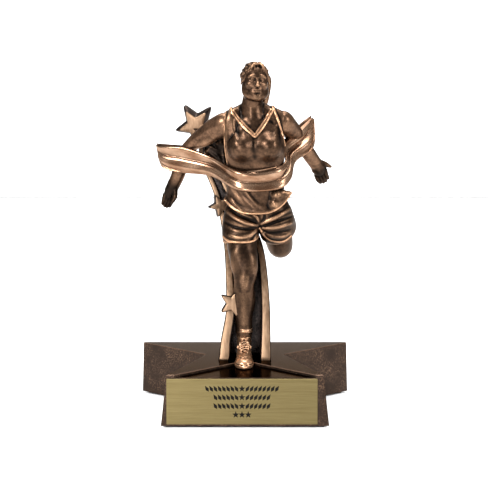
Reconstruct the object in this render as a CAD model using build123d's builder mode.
"""A running-figure trophy: bronzed resin castings pinned together on a star-shaped base.

Millimetres. +Z is up and the runner faces -Y.
The origin is under the middle of the star, on the felt's underside.
"""

import os
from math import cos, hypot, pi, radians, sin, tan

from build123d import *

# --- Driving dimensions ---------------------------------------------------------------------------
STAR_RADIUS = 58.0
STAR_NOTCH_RADIUS = 22.2
BASE_HEIGHT = 27.0  # at the side points
TOP_TILT = 2.2  # degrees; the base's top falls towards the name plate
FELT_THICKNESS = 0.8
FELT_INSET = 1.5
TIP_ROUNDING, RIM_BEVEL = 0.6, 0.3
FRONT_CORNER = (39.1, -47.1)  # bottom corner of the plinth between the two front points
FRONT_NOTCH_Y = -20.2
FRONT_STEP = 1.3  # how far the plinth's top lies under the star's
DRAFT_SIDE, DRAFT_FRONT_POINT, DRAFT_FRONT = 0.6, 4.0, 4.5  # degrees

PLATE_WIDTH, PLATE_HEIGHT, PLATE_THICKNESS = 70.0, 21.2, 0.5
PLATE_X = -1.4
PLATE_ABOVE_BOTTOM = 0.9
TAPE_THICKNESS, TAPE_MARGIN = 0.2, 1.5

SCREW_RADIUS, SCREW_HEAD_RADIUS, SCREW_HEAD_HEIGHT, SCREW_LENGTH = 1.5, 3.0, 2.0, 18.0
WASHER_RADIUS, WASHER_THICKNESS = 4.0, 0.8
SCREW_CLEARANCE = 0.1
COUNTERBORE_RADIUS = WASHER_RADIUS + 0.5
HEAD_SEAT_Z = 14.0  # height of the counterbore's roof, which the washers press on
RECESS_WIDTH, RECESS_DEPTH = 0.8, 1.1

PIN_RADIUS, PIN_CLEARANCE = 0.8, 0.05
WAIST_PIN_RADIUS = 1.25
OVAL_POINTS = 12

TILT = radians(TOP_TILT)
SIDE_TIP_Y = STAR_RADIUS * sin(radians(18))

# --- The runner's skeleton: joint centres ---------------------------------------------------------
WAIST = Vector(5.9, -4.0, 101.0)
NECK = Vector(4.6, -9.4, 146.0)
HEAD_CENTRE = Vector(5.1, -10.6, 160.0)
RIGHT_SHOULDER, RIGHT_ELBOW = Vector(-9.6, -7.5, 140.2), Vector(-28.8, 6.0, 128.0)
RIGHT_WRIST, RIGHT_FINGERTIP = Vector(-36.9, 10.5, 110.0), Vector(-41.2, 13.5, 97.5)
LEFT_SHOULDER, LEFT_ELBOW = Vector(18.4, -6.0, 141.4), Vector(29.0, 13.0, 130.5)
LEFT_WRIST, LEFT_FINGERTIP = Vector(36.5, 24.0, 118.5), Vector(42.1, 28.0, 109.0)
STANDING_HIP = Vector(0.8, -3.0, 94.0)
STANDING_KNEE = Vector(-0.7, -13.5, 62.0)
STANDING_ANKLE = Vector(-0.3, -11.0, 38.0)
TRAILING_HIP, TRAILING_KNEE = Vector(12.3, 0.0, 95.0), Vector(18.6, 20.0, 77.3)
TRAILING_ANKLE = Vector(18.1, 36.0, 89.6)
TRAILING_SOLE_FACING = (0, 0.83, 0.55)


# --- Helpers --------------------------------------------------------------------------------------
def inset_outline(points, insets):
    """The anticlockwise polygon with edge i, from point i to point i + 1, moved inwards by insets[i]."""
    lines = []
    for i, (x, y) in enumerate(points):
        next_x, next_y = points[(i + 1) % len(points)]
        length = hypot(next_x - x, next_y - y)
        normal = (-(next_y - y) / length, (next_x - x) / length)
        lines.append((*normal, normal[0] * x + normal[1] * y + insets[i]))
    moved = []
    for (a, b, c), (d, e, f) in zip(lines[-1:] + lines[:-1], lines):
        det = a * e - b * d
        moved.append(((c * e - b * f) / det, (a * f - c * d) / det))
    return moved


def section_plane(centre, direction):
    """A plane across a limb, with its X axis level and its Y axis as near upright as it can be."""
    direction = Vector(direction).normalized()
    level = direction.cross(Vector(0, 0, 1))
    return Plane(origin=centre, x_dir=Vector(1, 0, 0) if level.length < 0.2 else level, z_dir=direction)


def oval(half_width, half_height):
    """Points round an ellipse that always start on the X axis, so that lofts through ovals don't twist."""
    turns = [2 * pi * i / OVAL_POINTS for i in range(OVAL_POINTS)]
    return [(half_width * cos(t), half_height * sin(t)) for t in turns]


def level_loft(sections):
    """A solid through level ovals, each (x, y, z, half width, half depth)."""
    with BuildPart() as body:
        for x, y, z, half_width, half_depth in sections:
            with BuildSketch(Plane((x, y, z))):
                with BuildLine():
                    Spline(*oval(half_width, half_depth), periodic=True)
                make_face()
        loft()
    return body.part


def limb_loft(sections):
    """A solid through ovals across a limb, each (centre, direction, half width, half height)."""
    with BuildPart() as body:
        for centre, direction, half_width, half_height in sections:
            with BuildSketch(section_plane(centre, direction)):
                with BuildLine():
                    Spline(*oval(half_width, half_height), periodic=True)
                make_face()
        loft()
    return body.part


def strap_loft(sections):
    """A solid through upright rectangles across a strap, each (centre, direction, width, thickness)."""
    with BuildPart() as body:
        for centre, direction, width, thickness in sections:
            with BuildSketch(section_plane(centre, direction)):
                Rectangle(thickness, width)
        loft()
    return body.part


def pin(start, end, radius):
    """A plain metal pin between two points."""
    with BuildPart() as body:
        with BuildSketch(section_plane(start, end - start)):
            Circle(radius)
        extrude(amount=(end - start).length)
    return body.part


def pin_hole(start, end, radius):
    """The space of a pin's hole, a little wider and longer than the pin."""
    direction = (end - start).normalized()
    return pin(start - direction * PIN_CLEARANCE, end + direction * PIN_CLEARANCE, radius + PIN_CLEARANCE)


def main_solid(shape):
    """The largest solid of a cut shape, without the crumbs that curved cuts can leave."""
    return Part([shape.solids().sort_by(SortBy.VOLUME)[-1]])


def less(shape, *tools):
    """The shape with the tools cut out of it."""
    for tool in tools:
        shape = shape - tool
    return main_solid(shape)


os.makedirs("parts", exist_ok=True)


def write(shape, name):
    """Labels one finished piece and writes its STEP file."""
    shape.label = name
    export_step(shape, f"parts/{name}.step")


def between(start, end, share):
    """The point a share of the way from start to end."""
    return start + (end - start) * share


# --- Star base ------------------------------------------------------------------------------------
def star_point(radius, degrees):
    """A point on the star's plan at a radius and an angle from +X."""
    return (radius * cos(radians(degrees)), radius * sin(radians(degrees)))


right_tip, back_tip, left_tip = (star_point(STAR_RADIUS, a) for a in (18, 90, 162))
back_right_notch, back_left_notch = (star_point(STAR_NOTCH_RADIUS, a) for a in (54, 126))
left_notch, right_notch = (star_point(STAR_NOTCH_RADIUS, a) for a in (198, 342))
front_left, front_right = (-FRONT_CORNER[0], FRONT_CORNER[1]), FRONT_CORNER
base_outline = [
    front_left,
    front_right,
    right_notch,
    right_tip,
    back_right_notch,
    back_tip,
    back_left_notch,
    left_tip,
    left_notch,
]
edge_drafts = [DRAFT_FRONT, DRAFT_FRONT_POINT] + [DRAFT_SIDE] * 6 + [DRAFT_FRONT_POINT]
BLANK_HEIGHT = BASE_HEIGHT + 4.0  # the drafted blank, before the sloping top is cut
draft_insets = [tan(radians(d)) * (BLANK_HEIGHT - FELT_THICKNESS) for d in edge_drafts]
top_outline = inset_outline(base_outline, draft_insets)
felt_outline = inset_outline(base_outline, [FELT_INSET] * len(base_outline))

top_plane = Plane(origin=(0, SIDE_TIP_Y, BASE_HEIGHT), x_dir=(1, 0, 0), z_dir=(0, -sin(TILT), cos(TILT)))
FRONT_EDGE_Y = -45.3  # of the plinth's top
POINT_END_X = 32.8  # where the star's front points meet the plinth's front edge
PLINTH_REACH = 1.4  # the pocket runs this many times past the front edge
foot_screw_at = Vector(-0.4, -13.0, 0)
tail_screws_at = [Vector(-10.6, -16.5, 0), Vector(10.1, -16.5, 0)]
screw_axes = [foot_screw_at, *tail_screws_at]

with BuildPart() as star_base:
    with BuildSketch(Plane.XY.offset(FELT_THICKNESS)):
        with BuildLine():
            Polyline(*base_outline, close=True)
        make_face()
    with BuildSketch(Plane.XY.offset(BLANK_HEIGHT)):
        with BuildLine():
            Polyline(*top_outline, close=True)
        make_face()
    loft(ruled=True)
    upright = star_base.edges().filter_by(lambda e: abs(e.tangent_at(0.5).Z) > 0.9)
    behind = upright.filter_by(lambda e: e.center().Y > 0)
    tips = behind.filter_by(lambda e: hypot(e.center().X, e.center().Y) > STAR_RADIUS * 0.85)
    fillet(tips, radius=TIP_ROUNDING)
    split(bisect_by=top_plane, keep=Keep.BOTTOM)
    with BuildSketch(top_plane):
        with BuildLine():
            notch_y = FRONT_NOTCH_Y - SIDE_TIP_Y
            reach_y = notch_y + (FRONT_EDGE_Y - FRONT_NOTCH_Y) * PLINTH_REACH
            reach_x = POINT_END_X * PLINTH_REACH
            Polyline((0, notch_y), (-reach_x, reach_y), (reach_x, reach_y), close=True)
        make_face()
    extrude(amount=-FRONT_STEP, mode=Mode.SUBTRACT)
    rim = star_base.faces().sort_by(Axis.Z)[-1].edges()
    chamfer(rim, length=RIM_BEVEL)
    with Locations(*[Vector(p.X, p.Y, FELT_THICKNESS) for p in screw_axes]):
        Cylinder(
            COUNTERBORE_RADIUS,
            HEAD_SEAT_Z - FELT_THICKNESS,
            align=(Align.CENTER, Align.CENTER, Align.MIN),
            mode=Mode.SUBTRACT,
        )
        Cylinder(
            SCREW_RADIUS + SCREW_CLEARANCE,
            BASE_HEIGHT + 5,
            align=(Align.CENTER, Align.CENTER, Align.MIN),
            mode=Mode.SUBTRACT,
        )

with BuildPart() as felt_pad:
    with BuildSketch():
        with BuildLine():
            Polyline(*felt_outline, close=True)
        make_face()
        with Locations(*screw_axes):
            Circle(COUNTERBORE_RADIUS, mode=Mode.SUBTRACT)
    extrude(amount=FELT_THICKNESS)

# --- Name plate on the plinth's leaning front face ------------------------------------------------
LEAN = radians(DRAFT_FRONT)
front_plane = Plane(
    origin=(PLATE_X, FRONT_CORNER[1], FELT_THICKNESS), x_dir=(1, 0, 0), z_dir=(0, -cos(LEAN), sin(LEAN))
)

with BuildPart() as plate_adhesive:
    with BuildSketch(front_plane):
        with Locations((0, PLATE_ABOVE_BOTTOM + PLATE_HEIGHT / 2)):
            Rectangle(PLATE_WIDTH - 2 * TAPE_MARGIN, PLATE_HEIGHT - 2 * TAPE_MARGIN)
    extrude(amount=TAPE_THICKNESS)

with BuildPart() as name_plate:
    with BuildSketch(front_plane.offset(TAPE_THICKNESS)):
        with Locations((0, PLATE_ABOVE_BOTTOM + PLATE_HEIGHT / 2)):
            RectangleRounded(PLATE_WIDTH, PLATE_HEIGHT, 0.3)
    extrude(amount=PLATE_THICKNESS)
    chamfer(name_plate.faces().sort_by(Axis.Y)[0].edges(), length=0.12)


# --- Screws and washers under the base ------------------------------------------------------------
def screw(axis):
    """A cross-recessed pan-head screw, head down, whose shank points up into a casting."""
    with BuildPart() as body:
        seat = HEAD_SEAT_Z - WASHER_THICKNESS
        with BuildSketch(Plane((axis.X, axis.Y, seat - SCREW_HEAD_HEIGHT))):
            Circle(SCREW_HEAD_RADIUS)
        extrude(amount=SCREW_HEAD_HEIGHT)
        fillet(body.edges().sort_by(Axis.Z)[0], radius=0.7)
        with BuildSketch(Plane((axis.X, axis.Y, seat))):
            Circle(SCREW_RADIUS)
        extrude(amount=SCREW_LENGTH)
        chamfer(body.edges().sort_by(Axis.Z)[-1], length=0.9)
        with BuildSketch(Plane((axis.X, axis.Y, seat - SCREW_HEAD_HEIGHT))):
            Rectangle(2 * SCREW_RADIUS + 0.6, RECESS_WIDTH)
            Rectangle(RECESS_WIDTH, 2 * SCREW_RADIUS + 0.6)
        extrude(amount=RECESS_DEPTH, mode=Mode.SUBTRACT)
    return body.part


def washer(axis):
    """A flat washer between a screw's head and the counterbore's roof."""
    with BuildPart() as body:
        with BuildSketch(Plane((axis.X, axis.Y, HEAD_SEAT_Z - WASHER_THICKNESS))):
            Circle(WASHER_RADIUS)
            Circle(SCREW_RADIUS + SCREW_CLEARANCE, mode=Mode.SUBTRACT)
        extrude(amount=WASHER_THICKNESS)
    return body.part


def screw_hole(axis):
    """The hole that a screw's shank takes in the casting above the base."""
    top = Vector(axis.X, axis.Y, HEAD_SEAT_Z + SCREW_LENGTH)
    return pin(Vector(axis.X, axis.Y, BASE_HEIGHT - 6), top, SCREW_RADIUS + PIN_CLEARANCE)


# --- The runner's castings, before their sockets are cut ------------------------------------------
torso_blank = level_loft(
    [
        (WAIST.X, WAIST.Y, WAIST.Z, 12.8, 8.6),
        (5.9, -5.4, 109.0, 12.4, 8.4),
        (5.6, -8.0, 118.0, 13.0, 9.2),
        (5.4, -9.8, 127.0, 13.8, 9.8),
        (4.9, -9.8, 135.0, 13.8, 9.0),
        (4.5, -9.2, 140.5, 13.0, 7.2),
        (4.5, -8.9, 144.5, 8.5, 5.2),
    ]
)

neck_blank = level_loft(
    [
        (NECK.X, NECK.Y + 0.6, 141.0, 4.6, 4.6),
        (NECK.X, NECK.Y, NECK.Z, 4.2, 4.2),
        (NECK.X + 0.2, NECK.Y - 0.2, 154.0, 3.9, 4.4),
    ]
)

with BuildPart() as skull:
    with BuildSketch(Plane.XZ):
        with BuildLine():
            Polyline((0, -9.2), (2.6, -9.0), (4.6, -6.6))
            Spline((4.6, -6.6), (6.6, -1.0), (7.2, 3.4), (5.4, 7.6), (0, 9.5), tangents=[(0.3, 1), (-1, 0)])
            Line((0, 9.5), (0, -9.2))
        make_face()
    revolve(axis=Axis.Z)

skull_blank = scale(skull.part, by=(1, 1.18, 1)).moved(Location(HEAD_CENTRE))

shorts_blank = (
    level_loft(
        [
            (6.4, 0.0, 88.5, 13.5, 9.0),
            (6.4, -0.6, 93.0, 15.6, 10.2),
            (6.2, -2.2, 98.0, 14.6, 9.6),
            (WAIST.X, WAIST.Y, WAIST.Z, 12.8, 8.6),
        ]
    )
    + limb_loft(
        [
            (STANDING_HIP, STANDING_KNEE - STANDING_HIP, 8.0, 8.6),
            (between(STANDING_HIP, STANDING_KNEE, 0.40), STANDING_KNEE - STANDING_HIP, 8.3, 8.6),
        ]
    )
    + limb_loft(
        [
            (TRAILING_HIP, TRAILING_KNEE - TRAILING_HIP, 8.2, 8.6),
            (between(TRAILING_HIP, TRAILING_KNEE, 0.62), TRAILING_KNEE - TRAILING_HIP, 8.0, 8.2),
        ]
    )
)

standing_leg_blank = level_loft(
    [
        (-1.2, -6.6, 84.0, 6.5, 6.8),
        (-1.4, -8.8, 78.0, 6.5, 6.9),
        (-0.8, -11.2, 71.0, 6.0, 6.5),
        (-0.5, -13.0, 65.5, 5.0, 5.6),
        (-0.7, -13.2, 61.0, 4.4, 4.9),
        (-0.9, -11.8, 54.5, 5.1, 5.6),
        (-0.6, -11.4, 47.5, 4.3, 4.6),
        (STANDING_ANKLE.X, STANDING_ANKLE.Y, STANDING_ANKLE.Z, 3.5, 3.9),
    ]
)

shin = TRAILING_ANKLE - TRAILING_KNEE
thigh = TRAILING_KNEE - TRAILING_HIP
with BuildPart() as knee_cap:
    with Locations(TRAILING_KNEE):
        Sphere(5.6)
trailing_leg_blank = (
    limb_loft(
        [
            (between(TRAILING_HIP, TRAILING_KNEE, 0.50), thigh, 6.4, 6.6),
            (between(TRAILING_HIP, TRAILING_KNEE, 0.78), thigh, 5.9, 6.1),
            (TRAILING_KNEE, thigh, 5.2, 5.4),
        ]
    )
    + limb_loft(
        [
            (TRAILING_KNEE, shin, 4.9, 4.9),
            (between(TRAILING_KNEE, TRAILING_ANKLE, 0.45), shin, 5.0, 5.2),
            (TRAILING_ANKLE, TRAILING_SOLE_FACING, 3.5, 3.9),
        ]
    )
    + knee_cap.part
)


def arm(shoulder, elbow, wrist, fingertip):
    """One arm from its shoulder ball to its fingertips."""
    upper, fore, hand = elbow - shoulder, wrist - elbow, fingertip - wrist
    bend = (upper.normalized() + fore.normalized()).normalized()
    with BuildPart() as ball:
        with Locations(shoulder):
            Sphere(4.6)
    limb = limb_loft(
        [
            (shoulder, upper, 4.2, 4.4),
            (between(shoulder, elbow, 0.5), upper, 3.5, 3.6),
            (elbow, bend, 2.9, 3.0),
            (between(elbow, wrist, 0.35), fore, 3.1, 3.1),
            (wrist, fore, 2.0, 1.8),
        ]
    )
    palm = limb_loft(
        [
            (between(elbow, wrist, 0.97), fore, 2.0, 1.8),
            (between(wrist, fingertip, 0.40), hand, 3.3, 2.2),
            (between(wrist, fingertip, 0.75), hand, 3.2, 1.7),
            (fingertip, hand, 2.0, 1.0),
        ]
    )
    return ball.part + limb + palm


right_arm_blank = arm(RIGHT_SHOULDER, RIGHT_ELBOW, RIGHT_WRIST, RIGHT_FINGERTIP)
left_arm_blank = arm(LEFT_SHOULDER, LEFT_ELBOW, LEFT_WRIST, LEFT_FINGERTIP)

ponytail_blank = limb_loft(
    [
        (Vector(9.0, -4.4, 163.0), (0.3, 0.9, -0.3), 1.8, 2.2),
        (Vector(10.2, -1.4, 160.0), (0.1, 0.5, -1.0), 2.4, 2.6),
        (Vector(10.0, -1.4, 153.0), (0.0, -0.1, -1.0), 2.2, 2.3),
        (Vector(9.2, -2.2, 146.5), (-0.1, -0.1, -1.0), 0.9, 0.9),
    ]
)

# --- Finish tape: waist band and two streamers ----------------------------------------------------
TAPE_BODY, BAND_BODY = 1.8, 3.4
BAND_LEFT = (Vector(-7.6, -11.2, 114.6), (0.75, -0.66, -0.18), 10.4, BAND_BODY)
BAND_RIGHT = (Vector(18.4, -10.0, 115.4), (0.50, 0.80, 0.25), 10.4, BAND_BODY)


def turned(section):
    """The same section, met from its other side."""
    centre, direction, width, thickness = section
    return centre, Vector(direction) * -1, width, thickness


band_blank = strap_loft(
    [
        BAND_LEFT,
        (Vector(-2.4, -14.6, 113.0), (0.90, -0.42, -0.12), 10.0, BAND_BODY),
        (Vector(5.4, -16.2, 112.2), (1.00, 0.00, 0.00), 10.0, BAND_BODY),
        (Vector(13.0, -14.6, 113.4), (0.88, 0.45, 0.14), 10.2, BAND_BODY),
        BAND_RIGHT,
    ]
)
left_streamer_blank = strap_loft(
    [
        turned(BAND_LEFT),
        (Vector(-13.6, -6.6, 118.0), (-0.80, 0.55, 0.30), 10.0, 2.4),
        (Vector(-20.6, -1.8, 121.6), (-0.86, 0.44, 0.30), 9.8, TAPE_BODY),
        (Vector(-28.0, 1.6, 123.2), (-0.90, 0.38, 0.08), 11.2, TAPE_BODY),
        (Vector(-35.2, 4.6, 123.8), (-0.86, 0.50, 0.02), 11.7, TAPE_BODY),
        (Vector(-41.6, 9.4, 124.6), (-0.60, 0.80, 0.08), 10.0, TAPE_BODY),
    ]
)
right_streamer_blank = strap_loft(
    [
        BAND_RIGHT,
        (Vector(21.4, -4.8, 119.2), (0.45, 0.70, 0.55), 10.4, 2.4),
        (Vector(25.4, 0.6, 126.0), (0.60, 0.60, 0.56), 12.0, TAPE_BODY),
        (Vector(30.6, 5.8, 131.6), (0.68, 0.64, 0.36), 14.0, TAPE_BODY),
        (Vector(34.4, 10.6, 134.6), (0.40, 0.88, 0.20), 13.0, TAPE_BODY),
    ]
)

# --- Comet tail: two trails with a dark panel between them ----------------------------------------
PANEL_THICKNESS, PANEL_INSET, TRAIL_BEVEL = 1.8, 0.7, 0.5
# Up the tail: (height, front face y, depth, left trail x, right trail x, trail width, panel's right edge x)
TAIL_STATIONS = [
    (24.0, -19.8, 17.0, -11.1, 10.1, 5.2, 10.1),
    (32.0, -18.6, 16.4, -9.8, 10.2, 4.9, 10.2),
    (40.0, -17.0, 15.5, -8.6, 10.3, 4.5, 10.3),
    (48.0, -14.9, 14.2, -7.4, 10.3, 4.3, 10.3),
    (57.0, -11.6, 12.2, -7.4, 10.0, 4.0, 10.0),
    (68.0, -6.0, 10.0, -7.9, 9.2, 3.7, 9.2),
    (79.0, 2.0, 7.0, -8.9, 7.4, 3.4, 7.4),
    (90.0, 8.4, 6.0, -10.8, 2.6, 3.0, 2.6),
    (101.0, 9.6, 5.5, -13.2, -5.4, 2.9, -4.4),
    (112.0, 9.8, 5.0, -17.2, -11.2, 2.8, -7.0),
    (126.0, 9.6, 5.0, -22.0, -15.6, 2.6, -7.0),
    (138.0, 10.4, 5.0, -25.2, -21.4, 2.4, -8.0),
]


def trail(side):
    """One bevelled trail; side picks its x from the stations, 3 for the left and 4 for the right."""
    with BuildPart() as body:
        for station in TAIL_STATIONS:
            height, front, depth, width = station[0], station[1], station[2], station[5]
            with BuildSketch(Plane((station[side], front + depth / 2, height))) as section:
                Rectangle(width, depth)
                chamfer(section.vertices().group_by(Axis.Y)[0], length=TRAIL_BEVEL)
        loft()
    return body.part


def panel():
    """The panel that joins the trails along their backs."""
    with BuildPart() as body:
        for height, front, depth, left, _, _, right in TAIL_STATIONS:
            middle_y = front + depth - PANEL_INSET - PANEL_THICKNESS / 2
            with BuildSketch(Plane(((left + right) / 2, middle_y, height))):
                Rectangle(right - left, PANEL_THICKNESS)
        loft()
    return body.part


left_trail_blank, right_trail_blank, panel_blank = trail(3), trail(4), panel()

# --- Stars ----------------------------------------------------------------------------------------
STAR_WAIST = 0.45  # the notches' radius as a share of the points'


def five_star(plane, radius, face_radius, thickness, roll):
    """A five-pointed star standing out along its plane's normal. roll turns it anticlockwise, in degrees."""
    with BuildPart() as body:
        for height, size in ((0, radius), (thickness, face_radius)):
            with BuildSketch(plane.offset(height)):
                with BuildLine():
                    corners = []
                    for i in range(5):
                        corners.append(star_point(size, 90 + roll + 72 * i))
                        corners.append(star_point(size * STAR_WAIST, 126 + roll + 72 * i))
                    Polyline(*corners, close=True)
                make_face()
        loft(ruled=True)
    return body.part


def star_plane(centre, facing):
    """The back plane of a star, level from side to side. facing is its normal."""
    facing = Vector(facing).normalized()
    side = Vector(0, 0, 1).cross(facing).normalized()
    return Plane(origin=centre, x_dir=side, z_dir=facing)


top_star_blank = five_star(star_plane(Vector(-24.7, 16.0, 140.7), (-0.18, -1.0, -0.20)), 10.6, 6.4, 5.0, 32)
middle_star_blank = five_star(star_plane(Vector(-14.7, 10.4, 99.3), (0.40, -1.0, -0.10)), 5.2, 4.4, 3.4, 26)
lower_star_blank = five_star(star_plane(Vector(-6.5, -10.6, 52.6), (0.12, -1.0, 0.0)), 6.9, 6.2, 4.4, -18)

# --- Shoes ----------------------------------------------------------------------------------------
SOLE_LENGTH, SOLE_WIDTH, SOLE_THICKNESS, TOE_REACH = 22.6, 9.2, 2.0, 17.6
SOCK_RADIUS = 4.1


def shoe(ankle_plane, sole_depth):
    """A shoe and sock. ankle_plane faces the sole, sole_depth away, with its Y axis to the toe."""
    middle = TOE_REACH - SOLE_LENGTH / 2
    with BuildPart() as body:
        with BuildSketch(ankle_plane.offset(sole_depth)):
            with Locations((0, middle)):
                SlotOverall(SOLE_LENGTH, SOLE_WIDTH, rotation=90)
        extrude(amount=-SOLE_THICKNESS)
        with BuildSketch(ankle_plane.offset(sole_depth - SOLE_THICKNESS)):
            with Locations((0, middle)):
                Ellipse(SOLE_LENGTH / 2 - 0.4, SOLE_WIDTH / 2 - 0.2, rotation=90)
        with BuildSketch(ankle_plane.offset(sole_depth - 4.4)):
            with Locations((0, middle - 2.2)):
                Ellipse(SOLE_LENGTH / 2 - 3.0, SOLE_WIDTH / 2 - 0.7, rotation=90)
        with BuildSketch(ankle_plane.offset(sole_depth - 7.0)):
            with Locations((0, middle - 4.6)):
                Ellipse(SOLE_LENGTH / 2 - 6.2, SOLE_WIDTH / 2 - 1.0, rotation=90)
        loft()
        with BuildSketch(ankle_plane):
            Circle(SOCK_RADIUS)
        extrude(amount=sole_depth - SOLE_THICKNESS)
    return body.part


standing_ankle_plane = Plane(origin=STANDING_ANKLE, x_dir=(1, 0, 0), z_dir=(0, sin(TILT), -cos(TILT)))
trailing_ankle_plane = Plane(origin=TRAILING_ANKLE, x_dir=(1, 0, 0), z_dir=TRAILING_SOLE_FACING)
sole_depth = top_plane.to_local_coords(STANDING_ANKLE).Z
standing_shoe_blank = shoe(standing_ankle_plane, sole_depth)
trailing_shoe_blank = shoe(trailing_ankle_plane, sole_depth)

# --- Pins: each is listed with its two ends -------------------------------------------------------
PIN_HALF = 4.0


def across(point, direction, half=PIN_HALF):
    """The two ends of a pin centred on a joint."""
    direction = Vector(direction).normalized()
    return point - direction * half, point + direction * half


neck_ends = across(Vector(4.6, -9.0, 141.4), (0, 0, 1))
waist_ends = across(WAIST, (0, -0.10, 1), 6.0)
shoulder_ends = [
    across(
        between(RIGHT_SHOULDER, Vector(-5.0, -8.4, 138.6), 0.85), RIGHT_SHOULDER - Vector(-2.0, -9.0, 137.6)
    ),
    across(
        between(LEFT_SHOULDER, Vector(14.0, -7.4, 139.6), 0.85), LEFT_SHOULDER - Vector(11.0, -8.4, 138.4)
    ),
]
hip_ends = [
    across(between(STANDING_HIP, STANDING_KNEE, 0.40), STANDING_KNEE - STANDING_HIP),
    across(between(TRAILING_HIP, TRAILING_KNEE, 0.62), thigh),
]
ankle_ends = [across(STANDING_ANKLE, (0, 0, -1)), across(TRAILING_ANKLE, TRAILING_SOLE_FACING)]
star_ends = [
    (Vector(-24.6, 12.8, 133.6), Vector(-25.2, 13.6, 140.6)),
    (Vector(-13.4, 8.4, 99.6), Vector(-13.2, 13.0, 99.6)),
    (Vector(-7.1, -12.4, 53.6), Vector(-7.0, -5.0, 53.6)),
]
streamer_ends = [
    across(between(BAND_LEFT[0], Vector(-13.6, -6.6, 118.0), 0.02), BAND_LEFT[1], 2.6),
    across(between(BAND_RIGHT[0], Vector(21.4, -4.8, 119.2), 0.02), BAND_RIGHT[1], 2.6),
]
small_pins = [neck_ends, *shoulder_ends, *hip_ends, *ankle_ends, *star_ends, *streamer_ends]
pin_holes = [pin_hole(*ends, PIN_RADIUS) for ends in small_pins] + [pin_hole(*waist_ends, WAIST_PIN_RADIUS)]

# --- Fitting the castings to one another, then drilling them --------------------------------------
head_blank = skull_blank + neck_blank
castings = {
    "standing_shoe": less(standing_shoe_blank, standing_leg_blank, star_base.part),
    "standing_leg": less(standing_leg_blank, shorts_blank),
    "trailing_shoe": less(trailing_shoe_blank, trailing_leg_blank),
    "trailing_leg": less(trailing_leg_blank, shorts_blank),
    "shorts": shorts_blank,
    "torso": less(torso_blank, neck_blank, right_arm_blank, left_arm_blank, shorts_blank),
    "head": head_blank,
    "ponytail": less(ponytail_blank, head_blank, torso_blank),
    "right_arm": right_arm_blank,
    "left_arm": left_arm_blank,
    "ribbon_band": less(band_blank, torso_blank),
    "ribbon_left_streamer": less(left_streamer_blank, torso_blank, band_blank, right_arm_blank),
    "ribbon_right_streamer": less(right_streamer_blank, torso_blank, band_blank, left_arm_blank),
    "tail_panel": less(
        panel_blank,
        left_trail_blank,
        right_trail_blank,
        top_star_blank,
        shorts_blank,
        torso_blank,
        trailing_leg_blank,
        star_base.part,
    ),
    "left_trail": less(
        left_trail_blank,
        top_star_blank,
        middle_star_blank,
        lower_star_blank,
        standing_leg_blank,
        star_base.part,
    ),
    "right_trail": less(
        right_trail_blank,
        left_trail_blank,
        top_star_blank,
        shorts_blank,
        trailing_leg_blank,
        star_base.part,
    ),
    "top_star": top_star_blank,
    "middle_star": less(middle_star_blank, shorts_blank),
    "lower_star": less(lower_star_blank, standing_leg_blank),
}
screw_sockets = [screw_hole(axis) for axis in screw_axes]
for name, casting in castings.items():
    write(less(casting, *pin_holes, *screw_sockets), name)

# --- Everything else ------------------------------------------------------------------------------
write(star_base.part, "star_base")
write(felt_pad.part, "felt_pad")
write(name_plate.part, "name_plate")
write(plate_adhesive.part, "plate_adhesive")
write(screw(foot_screw_at), "foot_screw")
write(washer(foot_screw_at), "foot_washer")
write(Compound([screw(axis) for axis in tail_screws_at]), "tail_screws")
write(Compound([washer(axis) for axis in tail_screws_at]), "tail_washers")
write(pin(*neck_ends, PIN_RADIUS), "neck_pin")
write(pin(*waist_ends, WAIST_PIN_RADIUS), "waist_pin")
for group, ends in (
    ("shoulder_pins", shoulder_ends),
    ("hip_pins", hip_ends),
    ("ankle_pins", ankle_ends),
    ("star_pins", star_ends),
    ("streamer_pins", streamer_ends),
):
    write(Compound([pin(*pair, PIN_RADIUS) for pair in ends]), group)
